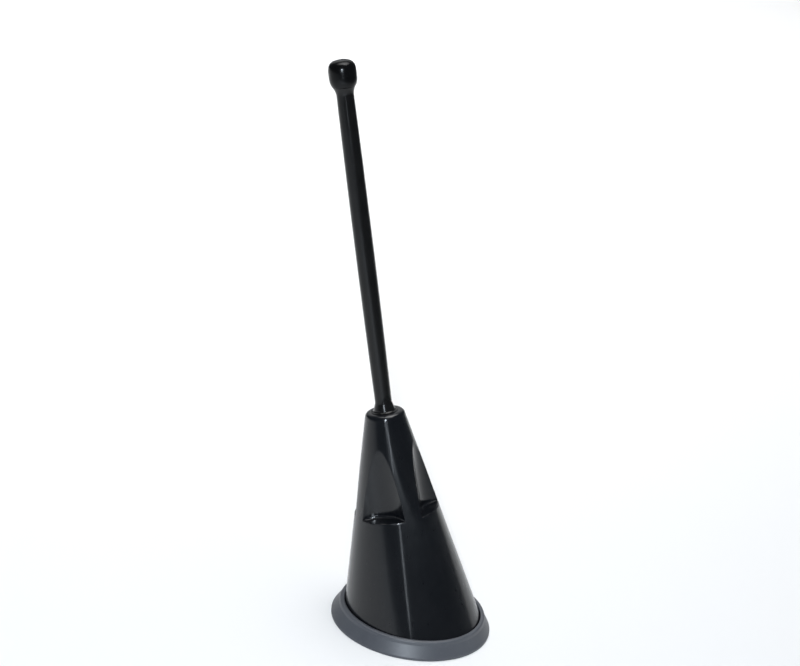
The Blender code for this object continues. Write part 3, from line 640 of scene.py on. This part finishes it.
class Look:
    """A procedural material built from a few layers of noise."""

    def __init__(self, name, metallic=0.0):
        self.material = bpy.data.materials.new(name)
        self.material.use_nodes = True
        self.tree = self.material.node_tree
        self.shader = self.tree.nodes["Principled BSDF"]
        self.shader.inputs["Metallic"].default_value = metallic
        self.coords = self.tree.nodes.new("ShaderNodeTexCoord")
        self.height = None

    def node(self, kind, **settings):
        made = self.tree.nodes.new(kind)
        for key, value in settings.items():
            setattr(made, key, value)
        return made

    def link(self, source, target):
        self.tree.links.new(source, target)

    def noise(self, scale, detail=4.0, rough=0.5, stretch=None):
        """Noise in object space; scale is in features per metre."""
        made = self.node("ShaderNodeTexNoise")
        made.inputs["Scale"].default_value = scale
        made.inputs["Detail"].default_value = detail
        made.inputs["Roughness"].default_value = rough
        source = self.coords.outputs["Object"]
        if stretch:
            mapping = self.node("ShaderNodeMapping")
            mapping.inputs["Scale"].default_value = stretch
            self.link(source, mapping.inputs["Vector"])
            source = mapping.outputs["Vector"]
        self.link(source, made.inputs["Vector"])
        return made.outputs["Fac"]

    def ramp(self, source, low, high, dark, light):
        """Map a value between two limits to a range of greys or colours."""
        made = self.node("ShaderNodeValToRGB")
        first, last = made.color_ramp.elements
        first.position = low
        last.position = high
        first.color = (*dark, 1) if isinstance(dark, tuple) else (dark, dark, dark, 1)
        last.color = (*light, 1) if isinstance(light, tuple) else (light, light, light, 1)
        self.link(source, made.inputs["Fac"])
        return made.outputs["Color"]

    def mix(self, factor, first, second):
        """Blend two colours, each a socket or an RGB tuple."""
        made = self.node("ShaderNodeMix", data_type="RGBA")
        self.link(factor, made.inputs["Factor"])
        for value, socket in ((first, made.inputs["A"]), (second, made.inputs["B"])):
            if isinstance(value, tuple):
                socket.default_value = (*value, 1)
            else:
                self.link(value, socket)
        return made.outputs["Result"]

    def bump(self, source, strength, distance):
        """Add a layer of bump, its distance in metres, on top of the ones before."""
        made = self.node("ShaderNodeBump")
        made.inputs["Strength"].default_value = strength
        made.inputs["Distance"].default_value = distance
        self.link(source, made.inputs["Height"])
        if self.height:
            self.link(self.height, made.inputs["Normal"])
        self.height = made.outputs["Normal"]
        self.link(self.height, self.shader.inputs["Normal"])

    def colour(self, socket):
        """Use a socket as the surface's colour."""
        self.link(socket, self.shader.inputs["Base Color"])

    def rough(self, socket):
        """Use a socket as the surface's roughness."""
        self.link(socket, self.shader.inputs["Roughness"])

    def constants(self, values):
        """Set values that are the same all over the surface on the shader's own sockets."""
        for key, value in values.items():
            self.shader.inputs[key].default_value = value


def housing_look():
    """Weathered gloss-black moulded plastic: a clear skin over a wiped, finely scratched body."""
    look = Look("housing_plastic")
    broad = look.noise(60, 4)
    fine = look.noise(1400, 6, 0.6)
    scuffs = look.noise(500, 8, 0.7, stretch=(1, 1, 0.15))
    film = look.ramp(broad, 0.35, 0.75, (0.0032, 0.0040, 0.0056), (0.0056, 0.0062, 0.0078))
    speck = look.ramp(fine, 0.66, 0.80, 0.0, 1.0)
    look.colour(look.mix(speck, film, (0.026, 0.027, 0.029)))
    look.rough(look.ramp(scuffs, 0.3, 0.8, 0.26, 0.40))
    look.bump(broad, 0.04, 0.0004)
    look.bump(scuffs, 0.10, 0.00003)
    look.bump(fine, 0.06, 0.00003)
    look.link(look.height, look.shader.inputs["Coat Normal"])
    look.constants({
        "Specular IOR Level": 0.13,
        "Anisotropic": 0.9,
        "Coat Weight": 0.7,
        "Coat Roughness": 0.11,
        "Coat IOR": 1.46,
    })
    return look.material


def gasket_look():
    """Aged grey rubber with a satin bloom and a fine mould grain."""
    look = Look("gasket_rubber")
    broad = look.noise(45, 4, 0.55)
    grain = look.noise(2400, 4, 0.6)
    blotch = look.noise(220, 6, 0.65)
    base = look.ramp(broad, 0.3, 0.72, (0.060, 0.064, 0.075), (0.088, 0.094, 0.106))
    spots = look.ramp(blotch, 0.60, 0.80, 0.0, 0.6)
    look.colour(look.mix(spots, base, (0.12, 0.125, 0.136)))
    look.rough(look.ramp(grain, 0.3, 0.7, 0.36, 0.52))
    look.bump(blotch, 0.06, 0.0001)
    look.bump(grain, 0.14, 0.00004)
    return look.material


def whip_look():
    """Gloss-black rubber sheath with a very fine extruded grain."""
    look = Look("whip_rubber")
    broad = look.noise(120, 4)
    grain = look.noise(2200, 5, 0.6)
    base = look.ramp(broad, 0.3, 0.75, (0.0042, 0.0041, 0.0041), (0.0078, 0.0076, 0.0076))
    speck = look.ramp(grain, 0.66, 0.80, 0.0, 1.0)
    look.colour(look.mix(speck, base, (0.016, 0.016, 0.017)))
    look.rough(look.ramp(grain, 0.3, 0.7, 0.14, 0.22))
    look.bump(grain, 0.06, 0.00003)
    look.constants({"Specular IOR Level": 0.3})
    return look.material


def tip_look():
    """Deep black polished rubber of the tip cap."""
    look = Look("tip_rubber")
    broad = look.noise(150, 4)
    grain = look.noise(2400, 5, 0.6)
    look.colour(look.ramp(broad, 0.3, 0.75, (0.0016, 0.0016, 0.0018), (0.0040, 0.0040, 0.0043)))
    look.rough(look.ramp(grain, 0.3, 0.7, 0.16, 0.24))
    look.bump(grain, 0.05, 0.00003)
    look.constants({"Specular IOR Level": 0.22})
    return look.material


def metal_look(name, dark, light, low, high, scale=900):
    """Plated or cast metal with stains and small roughness changes."""
    look = Look(name, metallic=1.0)
    broad = look.noise(scale * 0.25, 5, 0.6)
    fine = look.noise(scale * 2.2, 6, 0.65)
    look.colour(look.ramp(broad, 0.32, 0.70, dark, light))
    look.rough(look.ramp(fine, 0.3, 0.7, low, high))
    look.bump(fine, 0.18, 0.00003)
    return look.material


def matter_look(name, dark, light, low, high, scale=900):
    """Non-metal with a mottled colour and a fine grain."""
    look = Look(name)
    broad = look.noise(scale * 0.3, 5, 0.6)
    fine = look.noise(scale * 2.5, 5, 0.6)
    look.colour(look.ramp(broad, 0.32, 0.70, dark, light))
    look.rough(look.ramp(fine, 0.3, 0.7, low, high))
    look.bump(fine, 0.22, 0.00003)
    return look.material


LOOKS = {
    "housing": housing_look(),
    "gasket": gasket_look(),
    "whip": whip_look(),
    "tip": tip_look(),
    "seal": matter_look("seal_rubber", (0.010, 0.010, 0.010), (0.024, 0.024, 0.025), 0.45, 0.7),
    "steel": metal_look("plated_steel", (0.46, 0.45, 0.40), (0.66, 0.66, 0.63), 0.22, 0.42),
    "zinc": metal_look("die_cast_zinc", (0.36, 0.37, 0.38), (0.52, 0.53, 0.55), 0.36, 0.58),
    "brass": metal_look("turned_brass", (0.52, 0.36, 0.14), (0.76, 0.58, 0.28), 0.20, 0.38),
    "copper": metal_look("enamelled_copper", (0.52, 0.20, 0.09), (0.78, 0.38, 0.20), 0.18, 0.32),
    "tin": metal_look("tinned_sheet", (0.60, 0.61, 0.62), (0.78, 0.79, 0.80), 0.16, 0.34),
    "board": matter_look("board_mask", (0.010, 0.10, 0.045), (0.020, 0.17, 0.075), 0.25, 0.45),
    "fibre": matter_look("glass_fibre", (0.62, 0.58, 0.42), (0.82, 0.80, 0.68), 0.40, 0.60),
    "ceramic": matter_look("fired_ceramic", (0.48, 0.43, 0.34), (0.66, 0.61, 0.52), 0.45, 0.7),
    "ferrite": matter_look("sintered_ferrite", (0.03, 0.03, 0.034), (0.07, 0.07, 0.075), 0.5, 0.75),
    "sleeve": matter_look("capacitor_sleeve", (0.02, 0.045, 0.16), (0.035, 0.07, 0.24), 0.25, 0.4),
    "white": matter_look("fluoropolymer", (0.72, 0.72, 0.70), (0.88, 0.88, 0.86), 0.42, 0.6),
}


def finish_piece(obj, body, look, slot, *nodes):
    """Give a piece its material and its body, and hide the CAD nodes that it stands for. The slot
    is not used.
    """
    obj.data.materials.clear()
    obj.data.materials.append(look)
    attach(obj, body)
    if nodes:
        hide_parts(*nodes)


def dress_nodes():
    """Detailed materials for the CAD nodes that stay."""
    looks = {
        "mast_insert": "brass",
        "feed_wire": "copper",
        "base_plate": "zinc",
        "amplifier_board": "board",
        "shield_can": "tin",
        "filter_block": "ceramic",
        "rf_choke": "ferrite",
        "socket_shell": "brass",
        "socket_core": "white",
        "socket_pin": "brass",
        "claw_washer": "steel",
        "mast_seal_ring": "seal",
        "mast_rod": "fibre",
        "radiator_coil": "copper",
    }
    for name, obj in frame["nodes"].items():
        if name.startswith(("housing_screw", "board_screw")):
            look = "steel"
        elif name.startswith("capacitor"):
            look = "sleeve"
        elif name in looks:
            look = looks[name]
        else:
            continue
        obj.data.materials.clear()
        obj.data.materials.append(LOOKS[look])
        obj.data.shade_smooth()
        obj.data.set_sharp_from_angle(angle=radians(35))


# ---------------------------------------------------------------- studio and camera

def make_floor():
    """Plain pale floor level with the panel."""
    mesh = bpy.data.meshes.new("floor")
    half = 6.0
    corners = [(-half, -half, 0), (half, -half, 0), (half, half, 0), (-half, half, 0)]
    mesh.from_pydata(corners, [], [(0, 1, 2, 3)])
    floor = bpy.data.objects.new("studio_floor", mesh)
    bpy.context.scene.collection.objects.link(floor)
    look = bpy.data.materials.new("floor_paint")
    look.use_nodes = True
    shader = look.node_tree.nodes["Principled BSDF"]
    shader.inputs["Base Color"].default_value = (0.86, 0.86, 0.86, 1)
    shader.inputs["Roughness"].default_value = 0.6
    mesh.materials.append(look)


def area_light(name, place, target, size, power, colour=(1, 1, 1), spread=180, roll=0):
    """Rectangular lamp: size in metres, power in watts, spread and roll in degrees."""
    lamp = bpy.data.lights.new(name, "AREA")
    lamp.shape = "RECTANGLE"
    lamp.size, lamp.size_y = size
    lamp.energy = power
    lamp.color = colour
    lamp.spread = radians(spread)
    obj = bpy.data.objects.new(name, lamp)
    bpy.context.scene.collection.objects.link(obj)
    aim = (Vector(target) - Vector(place)).to_track_quat("-Z", "Y").to_matrix().to_4x4()
    obj.matrix_world = Matrix.Translation(place) @ aim @ Matrix.Rotation(radians(roll), 4, "Z")


def make_lights(camera):
    """Soft lamps above and behind on the left, a dim surround, and on the camera's side a small
    lamp and two narrow strips, whose reflections are the glints and streaks on whip and cone."""
    world = bpy.data.worlds.new("studio")
    bpy.context.scene.world = world
    world.use_nodes = True
    surround = world.node_tree.nodes["Background"]
    surround.inputs["Color"].default_value = (0.80, 0.90, 1.0, 1)
    surround.inputs["Strength"].default_value = 0.11

    # The ceiling lamp looks all but straight down.
    area_light("ceiling", (-0.50, 0.70, 1.3), (-0.50, 0.7001, 0), (1.8, 1.8), 13.5, spread=80)
    area_light("back", (-1.0, 1.9, 1.0), (0, 0, 0.1), (2.4, 1.3), 4.8)

    # The lamp is set beside and above the camera, in the camera's own frame.
    sky = (0.82, 0.91, 1.0)
    beside_camera = Vector((-30 * MM, 60 * MM, 0))
    lamp_place = camera.matrix_world @ beside_camera
    area_light("lamp", lamp_place, (0, 0, 80 * MM), (0.03, 0.03), 3.4, sky)

    # The strips stand at the camera's distance: a step to its right, then a height.
    across = Vector((cos(CAMERA_AZIMUTH), sin(CAMERA_AZIMUTH), 0))
    under_camera = Vector((camera.location.x, camera.location.y, 0))
    strip_place = under_camera + across * 0.088 + Vector((0, 0, 0.178))
    area_light("strip", strip_place, (0, 0, 50 * MM), (0.022, 0.20), 0.10, sky, roll=-27)
    upper_place = under_camera + across * 0.008 + Vector((0, 0, 0.375))
    area_light("upper_strip", upper_place, (0, 0, 90 * MM), (0.022, 0.25), 1.5, sky, roll=-17)


def make_camera():
    """Camera at the photograph's viewing angle, slightly rolled."""
    azimuth, elevation, roll = CAMERA_AZIMUTH, CAMERA_ELEVATION, CAMERA_ROLL
    back = Vector((sin(azimuth) * cos(elevation), -cos(azimuth) * cos(elevation), sin(elevation)))
    right = Vector((cos(azimuth), sin(azimuth), 0))
    up = back.cross(right)
    rolled_right = right * cos(roll) + up * sin(roll)
    rolled_up = up * cos(roll) - right * sin(roll)
    place = CAMERA_TARGET + back * CAMERA_DISTANCE * MM
    data = bpy.data.cameras.new("camera")
    data.sensor_width = SENSOR_WIDTH
    data.lens = FOCAL_PIXELS / IMAGE_WIDTH * data.sensor_width
    camera = bpy.data.objects.new("camera", data)
    bpy.context.scene.collection.objects.link(camera)
    axes = Matrix((rolled_right, rolled_up, back)).transposed()
    camera.matrix_world = Matrix.Translation(place) @ axes.to_4x4()
    bpy.context.scene.camera = camera
    return camera


make_housing()
make_gasket()
make_jacket()
make_tip()
make_ferrule()
make_stud()
make_nut()
dress_nodes()
make_floor()
make_lights(make_camera())
bpy.context.scene.view_settings.view_transform = "Standard"
bpy.context.view_layer.update()
